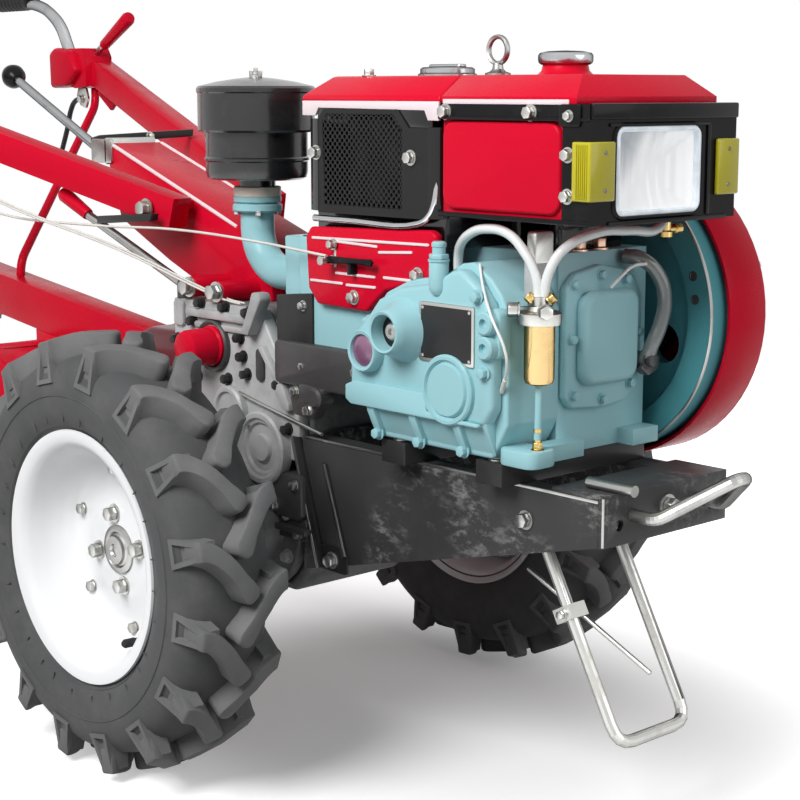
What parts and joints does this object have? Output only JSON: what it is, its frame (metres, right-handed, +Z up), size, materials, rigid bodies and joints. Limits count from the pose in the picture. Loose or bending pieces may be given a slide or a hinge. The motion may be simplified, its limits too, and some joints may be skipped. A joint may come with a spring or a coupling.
{
  "type": "power tiller",
  "caption": "Two-wheel walking tractor with a flat diesel engine, splayed handle arms, lugged tyres, a folding front stand, a rear rotary tiller and a tail wheel.",
  "frame": {"origin": "on the floor under the middle of the machine's length and width", "axes": "+X forward, towards the engine; +Y to the machine's left; +Z up"},
  "size_m": [2.1309, 0.85, 1.1103],
  "materials": {
    "right_tyre": "ribbed matt",
    "right_rim": "gloss",
    "left_tyre": "ribbed matt",
    "left_rim": "gloss",
    "axles": "satin",
    "gearbox_case": "satin",
    "gearbox_covers": "satin",
    "shaft_cap": "gloss",
    "frame": "satin",
    "mount_bars": "satin",
    "bumper": "satin",
    "bumper_loop": "bare",
    "front_stand": "bare",
    "crankcase": "semi gloss",
    "engine_covers": "semi gloss",
    "cylinder": "semi gloss",
    "side_panel": "gloss",
    "intake_elbow": "semi gloss",
    "air_cleaner": "satin",
    "silencer": "matt",
    "radiator": "satin",
    "radiator_grille": "satin",
    "hood": "gloss",
    "filler_caps": "polished",
    "fuel_tank": "gloss",
    "lifting_eye": "bare",
    "lamp_housing": "gloss",
    "lamp_glass": "clear",
    "side_lamps": "gloss",
    "fuel_filter": "polished",
    "hoses": "translucent",
    "flywheel": "semi gloss",
    "drive_belts": "matt",
    "clutch_pulley": "machined",
    "belt_guard": "gloss",
    "handle_box": "gloss",
    "handle_arms": "gloss",
    "handlebars": "polished",
    "grips": "matt",
    "levers": "bare",
    "cables": "satin",
    "hitch": "satin",
    "rear_beam": "gloss",
    "tiller_hood": "gloss",
    "chain_case": "satin",
    "tine_reel": "forged",
    "tail_fork": "satin",
    "tail_wheel": "matt"
  },
  "bodies": {
    "tractor": {"axles": "axles", "gearbox_case": "gearbox_case", "gearbox_covers": "gearbox_covers", "shaft_cap": "shaft_cap", "frame": "frame", "mount_bars": "mount_bars", "bumper": "bumper", "bumper_loop": "bumper_loop", "crankcase": "crankcase", "engine_covers": "engine_covers", "cylinder": "cylinder", "side_panel": "side_panel", "intake_elbow": "intake_elbow", "air_cleaner": "air_cleaner", "silencer": "silencer", "radiator": "radiator", "radiator_grille": "radiator_grille", "hood": "hood", "filler_caps": "filler_caps", "fuel_tank": "fuel_tank", "lifting_eye": "lifting_eye", "lamp_housing": "lamp_housing", "lamp_glass": "lamp_glass", "side_lamps": "side_lamps", "fuel_filter": "fuel_filter", "hoses": "hoses", "drive_belts": "drive_belts", "belt_guard": "belt_guard", "handle_box": "handle_box", "handle_arms": "handle_arms", "handlebars": "handlebars", "grips": "grips", "levers": "levers", "cables": "cables", "hitch": "hitch", "rear_beam": "rear_beam", "tiller_hood": "tiller_hood", "chain_case": "chain_case", "tail_fork": "tail_fork"},
    "right_wheel": {"right_tyre": "right_tyre", "right_rim": "right_rim"},
    "left_wheel": {"left_tyre": "left_tyre", "left_rim": "left_rim"},
    "stand": {"front_stand": "front_stand"},
    "flywheel_body": {"flywheel": "flywheel"},
    "clutch_body": {"clutch_pulley": "clutch_pulley"},
    "reel": {"tine_reel": "tine_reel"},
    "tail": {"tail_wheel": "tail_wheel"}
  },
  "joints": [
    {"name": "right_wheel_spin", "type": "hinge", "parent": "tractor", "child": "right_wheel", "pos_m": [0.30547, -0.355, 0.295], "axis": [0, 1, 0], "continuous": true},
    {"name": "left_wheel_spin", "type": "hinge", "parent": "tractor", "child": "left_wheel", "pos_m": [0.30547, 0.355, 0.295], "axis": [0, 1, 0], "continuous": true},
    {"name": "stand_fold", "type": "hinge", "parent": "tractor", "child": "stand", "pos_m": [0.80347, 0, 0.372], "axis": [0, 1, 0], "range_deg": [0, 120]},
    {"name": "flywheel_spin", "type": "hinge", "parent": "tractor", "child": "flywheel_body", "pos_m": [0.72947, 0.147, 0.618], "axis": [0, 1, 0], "continuous": true},
    {"name": "clutch_spin", "type": "hinge", "parent": "tractor", "child": "clutch_body", "pos_m": [0.24547, 0.19, 0.54], "axis": [0, 1, 0], "continuous": true},
    {"name": "reel_spin", "type": "hinge", "parent": "tractor", "child": "reel", "pos_m": [-0.39453, 0, 0.24], "axis": [0, 1, 0], "continuous": true},
    {"name": "tail_wheel_spin", "type": "hinge", "parent": "tractor", "child": "tail", "pos_m": [-0.71476, 0, 0.11], "axis": [0, 1, 0], "continuous": true}
  ],
  "couplings": [
    {"joint": "clutch_spin", "follows": "flywheel_spin", "ratio": 0.61905}
  ]
}
